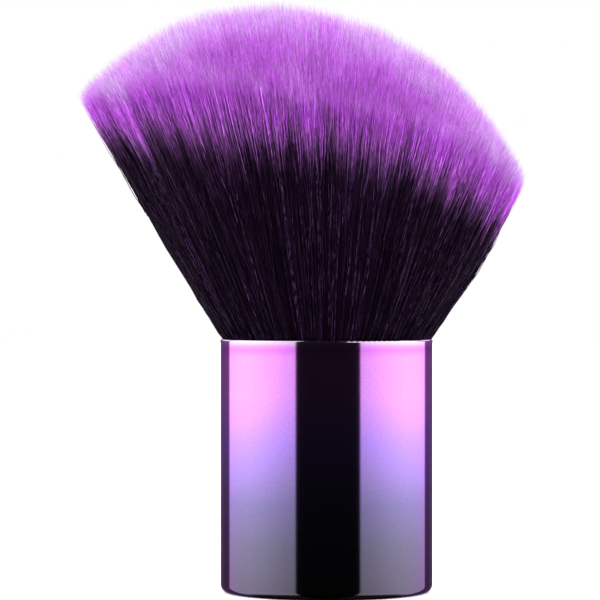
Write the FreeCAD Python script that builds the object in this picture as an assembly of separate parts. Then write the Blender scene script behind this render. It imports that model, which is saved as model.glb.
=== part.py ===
import FreeCAD, Part
import math
import os

# Kabuki makeup brush: a short drawn metal cup for a handle, and a wide head of bristles that fans out
# of its mouth and is trimmed to a dome that leans to one side.
# Sizes are in millimetres. The origin is the centre of the base, +Z runs up the handle,
# -Y is the front, and the tall side of the head is towards -X.

# Handle sleeve
handle_radius = 17.0
handle_height = 40.6
sleeve_wall = 0.5
sleeve_floor = 0.6
base_edge_radius = 1.3
floor_corner_radius = 0.8
lip_rounding_share = 0.8

# Ballast in the base
pad_thickness = 0.4
pad_inset = 0.5
slug_height = 6.0
slug_clearance = 0.3
slug_chamfer = 1.0

# Inner core
core_clearance = 0.1
core_recess = 2.5
core_wall = 1.6
core_rib_thickness = 1.2
core_rib_plates = 3

# Glue rings in the core's grooves
groove_inset = 5.0
groove_width = 2.0
groove_depth = 0.6
glue_clearance = 0.05

# Root ferrule and resin
ferrule_wall = 0.4
ferrule_clearance = 0.1
ferrule_recess = 0.5
ferrule_flange = 2.0
resin_thickness = 3.0
resin_clearance = 0.05

# Bristle head
flare_degrees = 31.2
root_depth = 13.5
bundle_clearance = 0.15
dome_radius = 42.0
dome_depth_radius = 55.5
dome_side = 8.0
dome_rise = 11.5
tip_fray = 2.2
tuft_gap = 0.12
inner_count = 6
middle_count = 12
outer_count = 18
edge_count = 24
ring_outer_shares = (0.11, 0.33, 0.56, 0.78, 1.0)

# How far a cutting shape runs past what it cuts
overrun = 2.0

# Heights that follow from the sizes above
slug_seat = sleeve_floor + pad_thickness
core_seat = slug_seat + slug_height
core_top = handle_height - core_recess
root_height = handle_height - root_depth
ferrule_seat = root_height - resin_thickness - ferrule_wall
ferrule_top = core_top - ferrule_recess

# Radii that follow from the sizes above
sleeve_bore = handle_radius - sleeve_wall
slug_radius = sleeve_bore - slug_clearance
core_radius = sleeve_bore - core_clearance
mouth_radius = sleeve_bore - bundle_clearance
flare_slope = math.tan(math.radians(flare_degrees))
flare_stretch = 1 / math.cos(math.radians(flare_degrees))

# The cones of the bundle's outside and of what holds it, as gaps outside the bundle
ferrule_inner_gap = bundle_clearance
ferrule_outer_gap = ferrule_inner_gap + ferrule_wall * flare_stretch
funnel_gap = ferrule_outer_gap + ferrule_clearance
hollow_gap = funnel_gap + core_wall * flare_stretch

UP = FreeCAD.Vector(0, 0, 1)
SIDE = FreeCAD.Vector(1, 0, 0)
CENTRE = FreeCAD.Vector(0, 0, 0)

# The dome that trims the bristles has its centre over the handle, off to the tall side of the head
dome_centre = FreeCAD.Vector(-dome_side, 0, handle_height + dome_rise)


def flare_radius(height, gap=0):
    """Radius of the bristle bundle at a height, or of a cone that lies a gap outside it."""
    return mouth_radius + gap + (height - handle_height) * flare_slope


def flare_height(radius, gap=0):
    """Height at which that same cone has a radius."""
    return handle_height + (radius - mouth_radius - gap) / flare_slope


def rounded_outline(corners):
    """Closed wire through (radius, height, rounding) corners, with a tangent arc at each rounded one."""
    places = [FreeCAD.Vector(radius, 0, height) for radius, height, rounding in corners]
    bends = []
    for index, (radius, height, rounding) in enumerate(corners):
        here = places[index]
        back = (places[index - 1] - here).normalize()
        onward = (places[(index + 1) % len(places)] - here).normalize()
        half_angle = back.getAngle(onward) / 2
        setback = rounding / math.tan(half_angle)
        inward = (back + onward).normalize()
        middle = here + inward * (rounding / math.sin(half_angle) - rounding)
        bends.append((here + back * setback, middle, here + onward * setback, rounding))
    edges = []
    for index, (start, middle, end, rounding) in enumerate(bends):
        if rounding > 0:
            edges.append(Part.Arc(start, middle, end).toShape())
        edges.append(Part.LineSegment(end, bends[(index + 1) % len(bends)][0]).toShape())
    return Part.Wire(edges)


def turned(corners):
    """Solid turned about the handle's axis from (radius, height, rounding) corners."""
    return Part.Face(rounded_outline(corners)).revolve(CENTRE, UP, 360)


def ring(inner_radius, outer_radius, bottom, height):
    """Plain ring round the handle's axis."""
    place = FreeCAD.Vector(0, 0, bottom)
    outer = Part.makeCylinder(outer_radius, height, place)
    return outer.cut(Part.makeCylinder(inner_radius, height, place))


def make_handle_sleeve():
    """Drawn cup with a closed base, a rounded base edge and a lip rounded on its outer side."""
    return turned([
        (0, 0, 0),
        (handle_radius, 0, base_edge_radius),
        (handle_radius, handle_height, sleeve_wall * lip_rounding_share),
        (sleeve_bore, handle_height, 0),
        (sleeve_bore, sleeve_floor, floor_corner_radius),
        (0, sleeve_floor, 0),
    ])


def make_ballast_pad():
    """Adhesive disc between the floor of the cup and the flat of the ballast disc."""
    pad_radius = slug_radius - slug_chamfer - pad_inset
    return Part.makeCylinder(pad_radius, pad_thickness, FreeCAD.Vector(0, 0, sleeve_floor))


def make_ballast_slug():
    """Steel disc with chamfered edges that clear the corner of the cup."""
    return turned([
        (0, slug_seat, 0),
        (slug_radius - slug_chamfer, slug_seat, 0),
        (slug_radius, slug_seat + slug_chamfer, 0),
        (slug_radius, core_seat - slug_chamfer, 0),
        (slug_radius - slug_chamfer, core_seat, 0),
        (0, core_seat, 0),
    ])


def groove_bottoms():
    """Lower edge of each glue groove, one near each end of the core."""
    return (core_seat + groove_inset, core_top - groove_inset - groove_width)


def make_inner_core():
    """Moulded core: outer wall, funnel that seats the ferrule, and ribs across the hollow under it."""
    hollow_roof = ferrule_seat - core_wall
    hollow_radius = core_radius - core_wall
    body = turned([
        (0, core_seat, 0),
        (core_radius, core_seat, 0),
        (core_radius, core_top, 0),
        (flare_radius(core_top, funnel_gap), core_top, 0),
        (flare_radius(ferrule_seat, funnel_gap), ferrule_seat, 0),
        (0, ferrule_seat, 0),
    ])
    hollow = turned([
        (0, core_seat, 0),
        (hollow_radius, core_seat, 0),
        (hollow_radius, flare_height(hollow_radius, hollow_gap), 0),
        (flare_radius(hollow_roof, hollow_gap), hollow_roof, 0),
        (0, hollow_roof, 0),
    ])
    corner = FreeCAD.Vector(-core_radius, -core_rib_thickness / 2, core_seat)
    plate = Part.makeBox(2 * core_radius, core_rib_thickness, core_top - core_seat, corner)
    for number in range(core_rib_plates):
        turned_plate = plate.copy()
        turned_plate.rotate(CENTRE, UP, 180 * number / core_rib_plates)
        hollow = hollow.cut(turned_plate)
    core = body.cut(hollow)
    for bottom in groove_bottoms():
        core = core.cut(ring(core_radius - groove_depth, core_radius + overrun, bottom, groove_width))
    return core


def make_core_glue_rings():
    """Glue rings that fill the core's grooves out to the wall of the cup."""
    inner_radius = core_radius - groove_depth + glue_clearance
    outer_radius = sleeve_bore - glue_clearance
    height = groove_width - 2 * glue_clearance
    rings = [ring(inner_radius, outer_radius, bottom + glue_clearance, height) for bottom in groove_bottoms()]
    return Part.makeCompound(rings)


def make_root_ferrule():
    """Thin conical ferrule that follows the flare of the bundle, with a flange turned in at its foot."""
    resin_seat = ferrule_seat + ferrule_wall
    opening = flare_radius(ferrule_seat, ferrule_inner_gap) - ferrule_flange
    return turned([
        (opening, ferrule_seat, 0),
        (flare_radius(ferrule_seat, ferrule_outer_gap), ferrule_seat, 0),
        (flare_radius(ferrule_top, ferrule_outer_gap), ferrule_top, 0),
        (flare_radius(ferrule_top, ferrule_inner_gap), ferrule_top, 0),
        (flare_radius(resin_seat, ferrule_inner_gap), resin_seat, 0),
        (opening, resin_seat, 0),
    ])


def make_root_resin():
    """Resin plug in the foot of the ferrule; the filament roots stand on its top face."""
    resin_seat = ferrule_seat + ferrule_wall
    gap = ferrule_inner_gap - resin_clearance
    return turned([
        (0, resin_seat, 0),
        (flare_radius(resin_seat, gap), resin_seat, 0),
        (flare_radius(root_height, gap), root_height, 0),
        (0, root_height, 0),
    ])


def make_dome():
    """Trimming dome: an arc over the head turned about a lying axis, so it is flatter front to back.

    It lies under the ends of the filaments by their fray, as the loose tips are no part of a solid lock.
    """
    solid_radius = dome_radius - tip_fray
    axis_drop = dome_depth_radius - dome_radius
    axis_place = dome_centre - UP * axis_drop
    half_chord = SIDE * math.sqrt(solid_radius ** 2 - axis_drop ** 2)
    crown = dome_centre + UP * solid_radius
    outline = [
        Part.Arc(axis_place - half_chord, crown, axis_place + half_chord).toShape(),
        Part.LineSegment(axis_place + half_chord, axis_place - half_chord).toShape(),
    ]
    return Part.Face(Part.Wire(outline)).revolve(axis_place, SIDE, 360)


def make_tuft_ring(count, inner_share, outer_share):
    """Ring of locks that fan out from the root, each a wedge of the flare trimmed by the dome."""
    dome = make_dome()
    top = dome_centre.z + dome_radius + overrun
    gap_share = tuft_gap / flare_radius(root_height)
    if inner_share > 0:
        inner_share += gap_share
        sweep = 360 / count - math.degrees(gap_share / outer_share)
    else:
        sweep = 360
    outline = [
        FreeCAD.Vector(share * flare_radius(height), 0, height)
        for share, height in (
            (inner_share, root_height),
            (outer_share, root_height),
            (outer_share, top),
            (inner_share, top),
        )
    ]
    wedge = Part.Face(Part.makePolygon(outline + outline[:1])).revolve(CENTRE, UP, sweep)
    tufts = []
    for number in range(count):
        tuft = wedge.copy()
        tuft.rotate(CENTRE, UP, 360 * number / count - sweep / 2)
        tufts.append(tuft.common(dome).Solids[0])
    return Part.makeCompound(tufts)


def make_pieces():
    """Every piece of the brush by its name."""
    pieces = {
        "handle_sleeve": make_handle_sleeve(),
        "ballast_pad": make_ballast_pad(),
        "ballast_slug": make_ballast_slug(),
        "inner_core": make_inner_core(),
        "core_glue_rings": make_core_glue_rings(),
        "root_ferrule": make_root_ferrule(),
        "root_resin": make_root_resin(),
    }
    rings = (
        ("centre_tuft", 1),
        ("inner_tufts", inner_count),
        ("middle_tufts", middle_count),
        ("outer_tufts", outer_count),
        ("edge_tufts", edge_count),
    )
    inner_share = 0
    for (name, count), outer_share in zip(rings, ring_outer_shares):
        pieces[name] = make_tuft_ring(count, inner_share, outer_share)
        inner_share = outer_share
    return pieces


os.makedirs("parts", exist_ok=True)
for name, shape in make_pieces().items():
    shape.exportStep(f"parts/{name}.step")
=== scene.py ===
import math

import bpy
import numpy as np
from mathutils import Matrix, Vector, kdtree


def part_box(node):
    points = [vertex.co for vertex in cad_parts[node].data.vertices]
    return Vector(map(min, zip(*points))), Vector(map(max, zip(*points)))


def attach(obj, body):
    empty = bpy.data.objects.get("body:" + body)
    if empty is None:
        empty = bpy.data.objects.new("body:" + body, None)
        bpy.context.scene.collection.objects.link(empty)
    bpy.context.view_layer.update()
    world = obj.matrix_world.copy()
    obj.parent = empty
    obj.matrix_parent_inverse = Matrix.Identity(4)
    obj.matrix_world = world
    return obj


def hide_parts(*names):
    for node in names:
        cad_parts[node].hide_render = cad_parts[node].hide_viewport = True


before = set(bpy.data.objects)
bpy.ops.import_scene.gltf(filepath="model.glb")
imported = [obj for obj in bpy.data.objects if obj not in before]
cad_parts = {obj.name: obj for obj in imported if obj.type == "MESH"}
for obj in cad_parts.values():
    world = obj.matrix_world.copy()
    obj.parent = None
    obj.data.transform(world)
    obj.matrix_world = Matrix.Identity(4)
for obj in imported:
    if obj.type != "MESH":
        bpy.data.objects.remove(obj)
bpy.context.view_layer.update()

# Sizes are in millimetres until a mesh is made. The frame is the brush's own: the base stands at the
# origin, +Z runs up the handle, -Y is the front and the tall side of the head is towards -X.
MM = 0.001

# Where the bundle leaves the cup, and how it fans out
mouth_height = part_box("handle_sleeve")[1].z / MM
mouth_radius = 16.35
flare_degrees = 31.2
flare_slope = math.tan(math.radians(flare_degrees))
fan_apex = mouth_height - mouth_radius / flare_slope

# Where the loose outside stands off the straight fan: over the lip, and on the low side of the head
rim_bulge = 0.5
rim_bulge_start = (-0.5, 1.0)
rim_bulge_reach = 34.0
side_swell = 0.9
side_swell_rise = 13.0
side_swell_reach = 9.0
side_swell_start = (0.5, 1.0)
rim_power = 4

# The dome that the tips are trimmed to: an arc over the head, flatter front to back, with a slight
# swell on its tall side
dome_radius = 42.8
dome_drop = 13.5
dome_side = -8.0
dome_rise = 11.5
dome_centre = (dome_side, mouth_height + dome_rise)
dome_reach = 60.0
dome_steps = 30
crest_swell = 0.9
crest_swell_side = -19.0
crest_swell_reach = 17.0

# Filaments of the dome, whose lower ends are lost, and of the outside, some of them strays
tip_density = 120000
tip_reach = (17.0, 24.0)
tip_shares = np.array([0.0, 0.62, 1.0])
skin_count = 19000
skin_share = 0.9
skin_foot = 1.2
whole_shares = np.array([0.0, 0.045, 0.2, 0.42, 0.62, 0.78, 0.9, 1.0])
stray_count = 900
stray_frizz = (0.004, 0.036)
stray_short = 20.0

# How the filaments differ from each other
filament_sides = 3
filament_thickness = 0.13
thickness_spread = (0.75, 1.15)
filament_taper = 8.0
point_share = 0.12
lean_spread = 0.024
trim_spread = 1.1
tone_spread = 0.45
frizz_spread = 0.008
bow_spread = 0.25
bow_turns = (5, 9)
bow_rise = 12
bow_of_frizz = 10
gather_length = 24.0
tip_lean = 0.02

# How gatherings of filaments lie over the fan: how far out, how unevenly, and where they end
scatter_span = 1.1
scatter_jitter = 0.45
scatter_edge = 1.06

# The rings of locks that the filaments stand for, and how many filaments go in one mesh
ring_nodes = ("centre_tuft", "inner_tufts", "middle_tufts", "outer_tufts", "edge_tufts")
ring_shares = (0.0, 0.11, 0.33, 0.56, 0.78, 1.0)
piece_limit = 20000
skin_piece_limit = 5000

# Dye: the depth at the far side of the map, the ends that the map keeps clear of, how much shorter it
# is at the front and back rims, and how far it is drawn out from -X to +X
dye_scale = 50.0
map_ends = (0.001, 0.999)
dye_spread = 0.7
dye_short_rim = 3.0
dye_short_front = (0.3, 0.85)
dye_short_side = (0.35, 0.8)
dye_short_relief = 0.75
dye_stretch_places = (-1.0, -0.8, -0.6, -0.45, -0.27, 0.0, 0.15, 0.5, 0.7, 1.0)
dye_stretches = (0.82, 1.0, 1.3, 1.42, 1.02, 1.1, 1.25, 1.02, 0.88, 0.85)

rng = np.random.default_rng(20)


def smooth(low, high, value):
    """Soft step from 0 at low to 1 at high."""
    share = np.clip((value - low) / (high - low), 0, 1)
    return share * share * (3 - 2 * share)


# Filament head

def dome_height(places):
    """Height at which straight filaments from given places in the fan reach the dome."""
    low = np.full(len(places), mouth_height)
    high = np.full(len(places), mouth_height + dome_reach)
    for _ in range(dome_steps):
        height = (low + high) / 2
        across = places[:, 0] * flare_slope * (height - fan_apex)
        along = places[:, 1] * flare_slope * (height - fan_apex)
        rise = np.hypot(along, height - dome_centre[1] + dome_drop) - dome_drop
        inside = np.hypot(across - dome_centre[0], rise) < dome_radius
        low = np.where(inside, height, low)
        high = np.where(inside, high, height)
    return low


def slant(share):
    """Length of a filament for each millimetre that it climbs, at a share of the fan."""
    return np.sqrt(1 + (share * flare_slope) ** 2)


def scattered(spacing):
    """Places over the fan, about evenly spaced but not in rows."""
    steps = np.arange(-scatter_span, scatter_span, spacing)
    grid = np.stack(np.meshgrid(steps, steps), -1).reshape(-1, 2)
    grid += rng.uniform(-scatter_jitter, scatter_jitter, grid.shape) * spacing
    return grid[np.hypot(grid[:, 0], grid[:, 1]) < scatter_edge]


class Gathers:
    """Gatherings of filaments: where each one's middle is, and how it differs from its neighbours."""

    def __init__(self, spacing, pull, trim, dye, tone):
        self.middles = scattered(spacing)
        self.pull = pull
        count = len(self.middles)
        self.trim = rng.exponential(trim, count)
        self.dye = rng.normal(0, dye, count)
        self.tone = tone * rng.uniform(0, 1, count)
        self.tree = kdtree.KDTree(count)
        for index, (x, y) in enumerate(self.middles):
            self.tree.insert((x, y, 0), index)
        self.tree.balance()

    def nearest(self, places):
        """Which gathering each place belongs to."""
        return np.array([self.tree.find((x, y, 0))[1] for x, y in places])


locks = Gathers(spacing=0.13, pull=0.14, trim=0.15, dye=0.6, tone=0.0)
wisps = Gathers(spacing=0.035, pull=0.2, trim=0.25, dye=1.15, tone=0.05)
threads = Gathers(spacing=0.012, pull=0.4, trim=0.9, dye=0.9, tone=0.5)


def ring_places(count, inner_share, outer_share):
    """Places of filaments spread over a ring of the fan."""
    share = np.sqrt(rng.uniform(inner_share ** 2, outer_share ** 2, count))
    turn = rng.uniform(-math.pi, math.pi, count)
    return np.stack([share * np.cos(turn), share * np.sin(turn)], -1)


def dye_shortness(places):
    """How much shorter the dye is at given places than on the crest."""
    side, front = np.abs(places).T
    relief = 1 - dye_short_relief * smooth(*dye_short_side, side)
    return dye_short_rim * smooth(*dye_short_front, front) * relief


def comb(places, reach, shares, frizz, short):
    """Filaments at given places: centre points, distances from the tip, dye distances and tones."""
    count = len(places)
    pull = rng.normal(0, lean_spread, places.shape)
    drop = rng.exponential(trim_spread, count) + short
    dye = rng.normal(0, dye_spread, count) + dye_shortness(places)
    tone = tone_spread * rng.uniform(0, 1, count)
    for gathers in (locks, wisps, threads):
        index = gathers.nearest(places)
        pull += gathers.pull * (gathers.middles[index] - places)
        drop += gathers.trim[index]
        dye += gathers.dye[index]
        tone += gathers.tone[index]

    # Tips at the rim lean in, and only a frizzy one stands outside the fan
    pull -= tip_lean * (np.hypot(places[:, 0], places[:, 1]) ** rim_power)[:, None] * places
    tips = places + pull
    over = np.maximum(np.hypot(tips[:, 0], tips[:, 1]) / (1 - tip_lean), 1.0)
    pull += tips * ((1 + frizz) / over - 1)[:, None]

    # The dome and its swell set the height of each tip
    tip_height = dome_height(places + pull) - drop
    across = tips[:, 0] * flare_slope * (tip_height - fan_apex)
    tip_height += crest_swell * np.exp(-((across - crest_swell_side) / crest_swell_reach) ** 2)

    # From the tip down, the gathering lets go and the filament falls into the straight fan
    distance = reach[:, None] * (1 - shares)[None, :]
    grip = 1 - smooth(0, gather_length, distance)
    line = places[:, None, :] + grip[..., None] * pull[:, None, :]
    share = np.hypot(line[..., 0], line[..., 1])
    height = tip_height[:, None] - distance / slant(share)

    # The outside bulges over the lip and swells on the low side
    low, high = rim_bulge_start
    bulge = rim_bulge * smooth(mouth_height + low, mouth_height + high, height)
    bulge *= np.clip(1 - (height - mouth_height) / rim_bulge_reach, 0, 1) * share ** rim_power
    swell = np.exp(-((height - mouth_height - side_swell_rise) / side_swell_reach) ** 2)
    bulge += side_swell * swell * smooth(*side_swell_start, line[..., 0]) * share ** rim_power
    out = flare_slope * (height - fan_apex) + bulge
    points = np.concatenate([line * out[..., None], height[..., None]], -1)

    # Each filament bows a little, a frizzy one more
    waves = rng.uniform(*bow_turns, (count, 1)) * shares + rng.uniform(0, 2 * math.pi, (count, 1))
    bow = np.sin(waves) * smooth(mouth_height, mouth_height + bow_rise, height)
    bow *= 1 + bow_of_frizz * frizz[:, None]
    points[..., :2] += rng.normal(0, bow_spread, (count, 1, 2)) * bow[..., None]

    drawn_out = np.interp(places[:, 0], dye_stretch_places, dye_stretches)
    depth = (distance + drop[:, None]) / drawn_out[:, None] + dye[:, None]
    return points, distance, np.maximum(depth, 0), tone


def filament_corners(points, distance):
    """Corners of tapered filaments: a ring of them at each station, and the end of the tip."""
    count = len(points)
    way = points[:, -1] - points[:, 0]
    way /= np.linalg.norm(way, axis=1)[:, None]
    side = np.cross(way, (0.0, 1.0, 0.0))
    side /= np.linalg.norm(side, axis=1)[:, None]
    other = np.cross(way, side)
    roll = rng.uniform(0, 2 * math.pi, count)
    thickness = rng.uniform(*thickness_spread, (count, 1)) * filament_thickness
    fullness = smooth(0, filament_taper, distance[:, :-1])
    half = thickness / 2 * (point_share + (1 - point_share) * fullness)
    rows = []
    for corner in range(filament_sides):
        turn = roll + corner * 2 * math.pi / filament_sides
        spoke = np.cos(turn)[:, None] * side + np.sin(turn)[:, None] * other
        rows.append(points[:, :-1] + half[..., None] * spoke[:, None, :])
    rings = np.stack(rows, 2).reshape(count, -1, 3)
    return np.concatenate([rings, points[:, -1:]], 1)


def filament_faces(count, rings):
    """Faces of filaments with so many rings each: the corners in turn, and where each face starts."""
    sides = filament_sides
    walls = []
    for low in range(0, (rings - 1) * sides, sides):
        high = low + sides
        for corner in range(sides):
            onward = (corner + 1) % sides
            walls.append((low + corner, low + onward, high + onward, high + corner))
    last = (rings - 1) * sides
    point = [(last + corner, last + (corner + 1) % sides, last + sides) for corner in range(sides)]
    first = (np.arange(count) * (rings * sides + 1))[:, None]
    quads = (first + np.array(walls).reshape(1, -1)).reshape(-1)
    triangles = (first + np.array(point).reshape(1, -1)).reshape(-1)
    quad_starts = np.arange(0, len(quads), 4)
    triangle_starts = len(quads) + np.arange(0, len(triangles), 3)
    return np.concatenate([quads, triangles]), np.concatenate([quad_starts, triangle_starts])


def filament_mesh(name, points, distance, dye, tone):
    """Mesh of tapered filaments; its map keeps each one's tone and how far along it the dye is."""
    count, stations = distance.shape
    corners = filament_corners(points, distance)
    loops, starts = filament_faces(count, stations - 1)
    tones = np.repeat(tone, corners.shape[1])
    depths = np.concatenate([np.repeat(dye[:, :-1], filament_sides, 1), dye[:, -1:]], 1).reshape(-1)
    places = np.stack([tones[loops], depths[loops] / dye_scale], -1)
    mesh = bpy.data.meshes.new(name)
    mesh.vertices.add(count * corners.shape[1])
    mesh.vertices.foreach_set("co", (corners * MM).reshape(-1))
    mesh.loops.add(len(loops))
    mesh.loops.foreach_set("vertex_index", loops.astype(np.int32))
    mesh.polygons.add(len(starts))
    mesh.polygons.foreach_set("loop_start", starts.astype(np.int32))
    mesh.update(calc_edges=True)
    chart = np.clip(places, *map_ends).reshape(-1).astype(np.float32)
    mesh.uv_layers.new(name="OFBake").data.foreach_set("uv", chart)
    mesh.shade_smooth()
    mesh.validate()
    return mesh


def filament_piece(name, node, material, lines):
    """One bundle of filaments that stands for a ring of locks."""
    piece = bpy.data.objects.new(name, filament_mesh(name, *lines))
    bpy.context.scene.collection.objects.link(piece)
    piece.data.materials.append(material)
    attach(piece, "root")
    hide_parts(node)


def tip_filaments(count, inner_share, outer_share):
    """Filaments whose lower ends are lost among the others."""
    places = ring_places(count, inner_share, outer_share)
    reach = rng.uniform(*tip_reach, count)
    frizz = np.abs(rng.normal(0, frizz_spread, count))
    return comb(places, reach, tip_shares, frizz, 0)


def whole_filaments(count, inner_share, outer_share):
    """Filaments of the outside, which show from the mouth of the cup to their tips."""
    places = ring_places(count, inner_share, outer_share)
    share = np.hypot(places[:, 0], places[:, 1])
    reach = (dome_height(places) - mouth_height + skin_foot) * slant(share)
    frizz = np.abs(rng.normal(0, frizz_spread, count))
    short = np.zeros(count)
    frizz[:stray_count] = rng.uniform(*stray_frizz, stray_count)
    short[:stray_count] = rng.uniform(0, stray_short, stray_count)
    return comb(places, reach - short, whole_shares, frizz, short)


def make_bundles(name, node, material, lines, limit):
    """The same filaments in bundles of a limited size, each a sector of the ring."""
    tips = lines[0][:, -1]
    parts = math.ceil(len(tips) / limit)
    turn = np.arctan2(tips[:, 1], tips[:, 0])
    order = np.argsort(turn)
    for number, chosen in enumerate(np.array_split(order, parts), 1):
        filament_piece(f"{name}_{number}", node, material, [values[chosen] for values in lines])


def make_head(material):
    """All the filaments, ring by ring."""
    for node, inner_share, outer_share in zip(ring_nodes, ring_shares, ring_shares[1:]):
        count = round(tip_density * (outer_share ** 2 - inner_share ** 2))
        name = node.split("_")[0]
        lines = tip_filaments(count, inner_share, outer_share)
        make_bundles(f"{name}_filaments", node, material, lines, piece_limit)
    lines = whole_filaments(skin_count, skin_share, 1.0)
    make_bundles("skin_filaments", "edge_tufts", material, lines, skin_piece_limit)


# Materials

def new_material(name):
    """Empty node material with its shader."""
    material = bpy.data.materials.new(name)
    material.use_nodes = True
    tree = material.node_tree
    return material, tree, tree.nodes["Principled BSDF"]


def ramp(tree, stops, value):
    """Colour ramp with (place, colour) stops, driven by a value."""
    node = tree.nodes.new("ShaderNodeValToRGB")
    elements = node.color_ramp.elements
    while len(elements) < len(stops):
        elements.new(1.0)
    for element, (place, colour) in zip(elements, stops):
        element.position = place
        element.color = (*colour, 1.0)
    tree.links.new(value, node.inputs["Fac"])
    return node.outputs["Color"]


def combine(tree, operation, first, second):
    """Math node on two values, each a socket or a number."""
    node = tree.nodes.new("ShaderNodeMath")
    node.operation = operation
    for socket, value in zip(node.inputs, (first, second)):
        if isinstance(value, (int, float)):
            socket.default_value = value
        else:
            tree.links.new(value, socket)
    return node.outputs["Value"]


def climb(tree, value, span, levels, kind="SMOOTHSTEP"):
    """Step of a value from one level to another over a span, soft unless another kind is given."""
    node = tree.nodes.new("ShaderNodeMapRange")
    node.interpolation_type = kind
    for name, number in zip(("From Min", "From Max", "To Min", "To Max"), (*span, *levels)):
        node.inputs[name].default_value = number
    tree.links.new(value, node.inputs["Value"])
    return node.outputs["Result"]


def blend(tree, share, first, second):
    """Value between two others, each a socket or a number."""
    node = tree.nodes.new("ShaderNodeMix")
    for name, value in (("Factor", share), ("A", first), ("B", second)):
        if isinstance(value, (int, float)):
            node.inputs[name].default_value = value
        else:
            tree.links.new(value, node.inputs[name])
    return node.outputs["Result"]


def mix_colours(tree, share, first, second, kind="MIX"):
    """Colour between two others, or another kind of mix of them; 6, 7 and 2 are the colour sockets."""
    node = tree.nodes.new("ShaderNodeMix")
    node.data_type = "RGBA"
    node.blend_type = kind
    for place, value in zip((0, 6, 7), (share, first, second)):
        tree.links.new(value, node.inputs[place])
    return node.outputs[2]


def lightened(tree, colour, share):
    """Colour made lighter or darker by a share."""
    node = tree.nodes.new("ShaderNodeHueSaturation")
    tree.links.new(colour, node.inputs["Color"])
    tree.links.new(share, node.inputs["Value"])
    return node.outputs["Color"]


def object_height(tree):
    """Height on a piece, in metres from the base."""
    place = tree.nodes.new("ShaderNodeTexCoord")
    parts = tree.nodes.new("ShaderNodeSeparateXYZ")
    tree.links.new(place.outputs["Object"], parts.inputs["Vector"])
    return parts.outputs["Z"]


def dyed_filaments():
    """Aubergine filaments with orchid tips; the dye fades along each one. The palest tips are a painted
    glow of light from behind, and painted glints in dashes along each filament stand for light caught by
    its crimp.
    """
    material, tree, shader = new_material("dyed_filaments")
    chart = tree.nodes.new("ShaderNodeUVMap")
    chart.uv_map = "OFBake"
    parts = tree.nodes.new("ShaderNodeSeparateXYZ")
    tree.links.new(chart.outputs["UV"], parts.inputs["Vector"])
    tone, depth = parts.outputs["X"], parts.outputs["Y"]
    # The first stops, pale lilac at the very tip, are a painted glow of light from behind shining
    # through the tips; after them comes the orchid dye, fading to aubergine.
    colour = ramp(tree, [
        (0.0, (0.7, 0.52, 0.88)),
        (0.05, (0.7, 0.31, 0.89)),
        (0.08, (0.67, 0.16, 0.88)),
        (0.11, (0.62, 0.105, 0.85)),
        (0.155, (0.5, 0.11, 0.68)),
        (0.2, (0.26, 0.07, 0.35)),
        (0.24, (0.09, 0.03, 0.12)),
        (0.3, (0.011, 0.0025, 0.0145)),
        (1.0, (0.0042, 0.0007, 0.0056)),
    ], depth)
    # Painted glints: a noise along each filament lightens and darkens it in short dashes, and adds pale
    # streaks in dashes to the lightest filaments, in place of light caught on their crimp.
    along = tree.nodes.new("ShaderNodeMapping")
    along.inputs["Scale"].default_value = (300.0, 42.0, 1.0)
    tree.links.new(chart.outputs["UV"], along.inputs["Vector"])
    glint_noise = tree.nodes.new("ShaderNodeTexNoise")
    glint_noise.noise_dimensions = "2D"
    glint_noise.inputs["Scale"].default_value = 1.0
    glint_noise.inputs["Detail"].default_value = 1.0
    tree.links.new(along.outputs["Vector"], glint_noise.inputs["Vector"])
    toned = climb(tree, tone, (0.15, 0.85), (0.55, 1.45), "LINEAR")
    painted_crimp_glints = climb(tree, glint_noise.outputs["Fac"], (0.32, 0.68), (0.68, 1.32))
    shaded = lightened(tree, colour, combine(tree, "MULTIPLY", toned, painted_crimp_glints))
    lighter_streaks_and_painted_glints = ramp(tree, [(0.62, (0.0, 0.0, 0.0)), (0.92, (0.072, 0.034, 0.094))], tone)
    painted_glint_mask = climb(tree, glint_noise.outputs["Fac"], (0.42, 0.66), (0.0, 1.0))
    tree.links.new(mix_colours(tree, painted_glint_mask, shaded, lighter_streaks_and_painted_glints, "ADD"), shader.inputs["Base Color"])
    shader.inputs["Roughness"].default_value = 0.36
    shader.inputs["Specular IOR Level"].default_value = 0.14
    shader.inputs["Specular Tint"].default_value = (0.8, 0.5, 1.0, 1.0)
    return material


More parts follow.
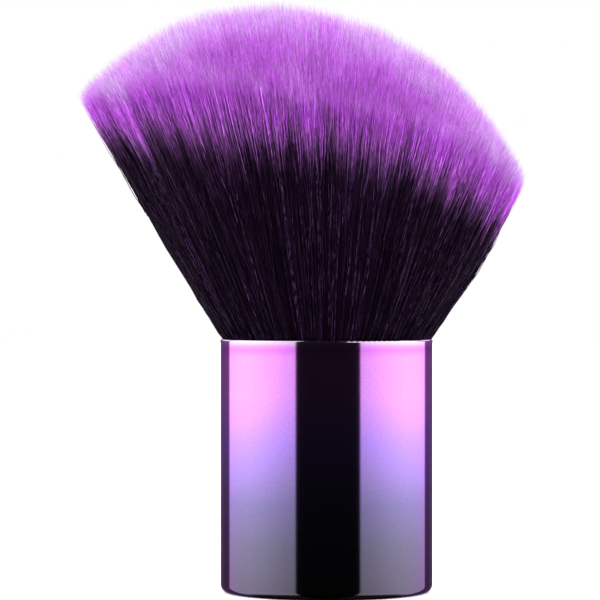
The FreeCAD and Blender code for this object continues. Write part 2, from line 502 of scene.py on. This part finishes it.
def ombre_lacquer():
    """Tinted lacquer over bright metal: violet at the mouth, smoky at the base, with a painted highlight
    at the lip over a painted dark reflection just below it.
    """
    material, tree, shader = new_material("ombre_lacquer")
    height = combine(tree, "DIVIDE", object_height(tree), mouth_height * MM)
    # The last stops paint the lip. The darker line just below the top is a painted reflection of the
    # bristles above, and the pale band at the very top is a painted highlight.
    colour = ramp(tree, [
        (0.0, (0.115, 0.1, 0.14)),
        (0.2, (0.15, 0.138, 0.22)),
        (0.365, (0.21, 0.175, 0.38)),
        (0.45, (0.3, 0.212, 0.54)),
        (0.6, (0.46, 0.265, 0.9)),
        (0.78, (0.78, 0.325, 1.0)),
        (0.93, (0.86, 0.315, 1.0)),
        (0.96, (0.8, 0.22, 0.97)),
        (0.974, (0.82, 0.3, 0.97)),
        (0.986, (0.84, 0.55, 0.92)),
        (1.0, (0.86, 0.78, 0.9)),
    ], height)
    grain = tree.nodes.new("ShaderNodeTexNoise")
    grain.inputs["Scale"].default_value = 2600.0
    grain.inputs["Detail"].default_value = 2.0
    place = tree.nodes.new("ShaderNodeTexCoord")
    tree.links.new(place.outputs["Object"], grain.inputs["Vector"])
    fleck = climb(tree, grain.outputs["Fac"], (0.3, 0.7), (0.95, 1.04), "LINEAR")
    tree.links.new(lightened(tree, colour, fleck), shader.inputs["Base Color"])
    bump = tree.nodes.new("ShaderNodeBump")
    bump.inputs["Strength"].default_value = 0.05
    bump.inputs["Distance"].default_value = 0.00002
    tree.links.new(grain.outputs["Fac"], bump.inputs["Height"])
    tree.links.new(bump.outputs["Normal"], shader.inputs["Normal"])
    shader.inputs["Metallic"].default_value = 1.0
    shader.inputs["Roughness"].default_value = 0.08
    shader.inputs["Specular Tint"].default_value = (0.85, 0.5, 1.0, 1.0)
    return material


def make_mottle():
    """Node group: colour that wanders between two shades over a piece."""
    group = bpy.data.node_groups.new("mottle", "ShaderNodeTree")
    for name, way, kind in (
        ("Dark", "INPUT", "NodeSocketColor"),
        ("Light", "INPUT", "NodeSocketColor"),
        ("Scale", "INPUT", "NodeSocketFloat"),
        ("Color", "OUTPUT", "NodeSocketColor"),
    ):
        group.interface.new_socket(name=name, in_out=way, socket_type=kind)
    entry = group.nodes.new("NodeGroupInput")
    leave = group.nodes.new("NodeGroupOutput")
    place = group.nodes.new("ShaderNodeTexCoord")
    noise = group.nodes.new("ShaderNodeTexNoise")
    group.links.new(place.outputs["Object"], noise.inputs["Vector"])
    group.links.new(entry.outputs["Scale"], noise.inputs["Scale"])
    wander = climb(group, noise.outputs["Fac"], (0.3, 0.7), (0.0, 1.0))
    shade = mix_colours(group, wander, entry.outputs["Dark"], entry.outputs["Light"])
    group.links.new(shade, leave.inputs["Color"])
    return group


mottle = make_mottle()


def mottled(name, dark, light, scale, roughness, metallic=0.0):
    """Plain stuff with a slight mottle, for the pieces inside the handle."""
    material, tree, shader = new_material(name)
    effect = tree.nodes.new("ShaderNodeGroup")
    effect.node_tree = mottle
    effect.inputs["Dark"].default_value = (*dark, 1.0)
    effect.inputs["Light"].default_value = (*light, 1.0)
    effect.inputs["Scale"].default_value = scale
    tree.links.new(effect.outputs["Color"], shader.inputs["Base Color"])
    shader.inputs["Roughness"].default_value = roughness
    shader.inputs["Metallic"].default_value = metallic
    return material


def dress(node, material):
    """Gives a CAD node its finish."""
    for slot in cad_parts[node].material_slots:
        slot.material = material


make_head(dyed_filaments())
dress("handle_sleeve", ombre_lacquer())
dress("ballast_pad", mottled("white_foam", (0.76, 0.75, 0.7), (0.88, 0.87, 0.83), 900, 0.9))
dress("ballast_slug", mottled("turned_steel", (0.5, 0.51, 0.53), (0.6, 0.61, 0.63), 300, 0.35, 1.0))
dress("inner_core", mottled("moulded_black", (0.02, 0.02, 0.022), (0.035, 0.035, 0.038), 500, 0.5))
dress("core_glue_rings", mottled("set_glue", (0.7, 0.65, 0.48), (0.82, 0.78, 0.62), 400, 0.4))
dress("root_ferrule", mottled("spun_aluminium", (0.7, 0.7, 0.72), (0.8, 0.8, 0.82), 350, 0.3, 1.0))
dress("root_resin", mottled("amber_resin", (0.45, 0.33, 0.16), (0.6, 0.47, 0.27), 250, 0.2))


# Studio

def make_floor():
    """Pale floor that takes the brush's shadow and is white to the camera."""
    half = 3.0
    corners = [(-half, -half, 0), (half, -half, 0), (half, half, 0), (-half, half, 0)]
    mesh = bpy.data.meshes.new("floor")
    mesh.from_pydata(corners, [], [(0, 1, 2, 3)])
    floor = bpy.data.objects.new("floor", mesh)
    bpy.context.scene.collection.objects.link(floor)
    material, tree, shader = new_material("pale_floor")
    shader.inputs["Base Color"].default_value = (0.9, 0.9, 0.9, 1.0)
    shader.inputs["Roughness"].default_value = 0.9
    shader.inputs["Emission Color"].default_value = (1.0, 1.0, 1.0, 1.0)
    path = tree.nodes.new("ShaderNodeLightPath")
    glow = combine(tree, "MULTIPLY", path.outputs["Is Camera Ray"], 0.35)
    tree.links.new(glow, shader.inputs["Emission Strength"])
    mesh.materials.append(material)
    floor.visible_glossy = False


def make_studio():
    """White backdrop, bright soft panels at both sides, dark cards in front and at the rear sides.

    What shines in the lacquer and what softly lights the brush have levels of their own.
    """
    panel_turn = math.radians(1.2)
    panel_strength = 1.85
    backlight_strength = 1.5
    side_strength = 2.4
    overhead_strength = 1.8
    world = bpy.data.worlds.new("studio")
    bpy.context.scene.world = world
    world.use_nodes = True
    tree = world.node_tree
    background = tree.nodes["Background"]
    way = tree.nodes.new("ShaderNodeTexCoord")
    parts = tree.nodes.new("ShaderNodeSeparateXYZ")
    tree.links.new(way.outputs["Generated"], parts.inputs["Vector"])
    front = combine(tree, "MULTIPLY", parts.outputs["Y"], -1.0)
    turn = combine(tree, "ARCTAN2", parts.outputs["X"], front)
    from_middle = combine(tree, "ABSOLUTE", combine(tree, "SUBTRACT", turn, panel_turn), 0.0)
    share = combine(tree, "DIVIDE", from_middle, math.pi)
    panel_levels = [
        (0.0, 0.004),
        (0.19, 0.004),
        (0.2, 0.5),
        (0.26, 0.57),
        (0.32, 0.66),
        (0.42, 0.8),
        (0.52, 0.9),
        (0.62, 0.93),
        (0.725, 0.93),
        (0.735, 0.5),
        (0.745, 0.09),
        (1.0, 0.09),
    ]
    panels = ramp(tree, [(place, (level, level, level)) for place, level in panel_levels], share)
    bright = combine(tree, "MULTIPLY", panels, panel_strength)
    standing = climb(tree, parts.outputs["Z"], (-0.75, -0.55), (0.03, 1.0))
    behind = climb(tree, share, (0.72, 0.8), (0.0, backlight_strength))
    above = climb(tree, parts.outputs["Z"], (0.1, 0.2), (0.0, 1.0))
    backlight = combine(tree, "MULTIPLY", behind, above)
    shine = combine(tree, "MAXIMUM", combine(tree, "MULTIPLY", bright, standing), backlight)
    overhead = climb(tree, parts.outputs["Z"], (0.2, 0.4), (0.0, 1.0))
    beside = combine(tree, "MULTIPLY", combine(tree, "MULTIPLY", bright, panels), side_strength)
    soft = blend(tree, overhead, beside, overhead_strength)
    path = tree.nodes.new("ShaderNodeLightPath")
    lit = blend(tree, path.outputs["Is Glossy Ray"], soft, shine)
    seen = combine(tree, "MAXIMUM", path.outputs["Is Camera Ray"], path.outputs["Is Transmission Ray"])
    tree.links.new(blend(tree, seen, lit, 1.0), background.inputs["Strength"])
    background.inputs["Color"].default_value = (1.0, 1.0, 1.0, 1.0)


def make_rim_lamp():
    """Soft lamp behind and above, which lights the tips along the crest of the head."""
    lamp = bpy.data.lights.new("rim_lamp", "AREA")
    lamp.shape = "RECTANGLE"
    lamp.size = 0.7
    lamp.size_y = 0.35
    lamp.energy = 2.5
    holder = bpy.data.objects.new("rim_lamp", lamp)
    holder.visible_camera = False
    holder.location = (0.0, 0.42, 0.5)
    aim = Vector((0.0, 0.0, 0.08)) - holder.location
    holder.rotation_euler = aim.to_track_quat("-Z", "Y").to_euler()
    bpy.context.scene.collection.objects.link(holder)


def make_camera():
    """Level camera straight in front, as the photograph has it."""
    lens = bpy.data.cameras.new("camera")
    lens.lens = 192.9
    lens.sensor_width = 36.0
    lens.clip_end = 20.0
    camera = bpy.data.objects.new("camera", lens)
    camera.location = (-0.00425, -0.516, 0.0468)
    camera.rotation_euler = (math.radians(90.0), 0.0, 0.0)
    bpy.context.scene.collection.objects.link(camera)
    bpy.context.scene.camera = camera


make_floor()
make_studio()
make_rim_lamp()
make_camera()
bpy.context.scene.view_settings.view_transform = "Standard"
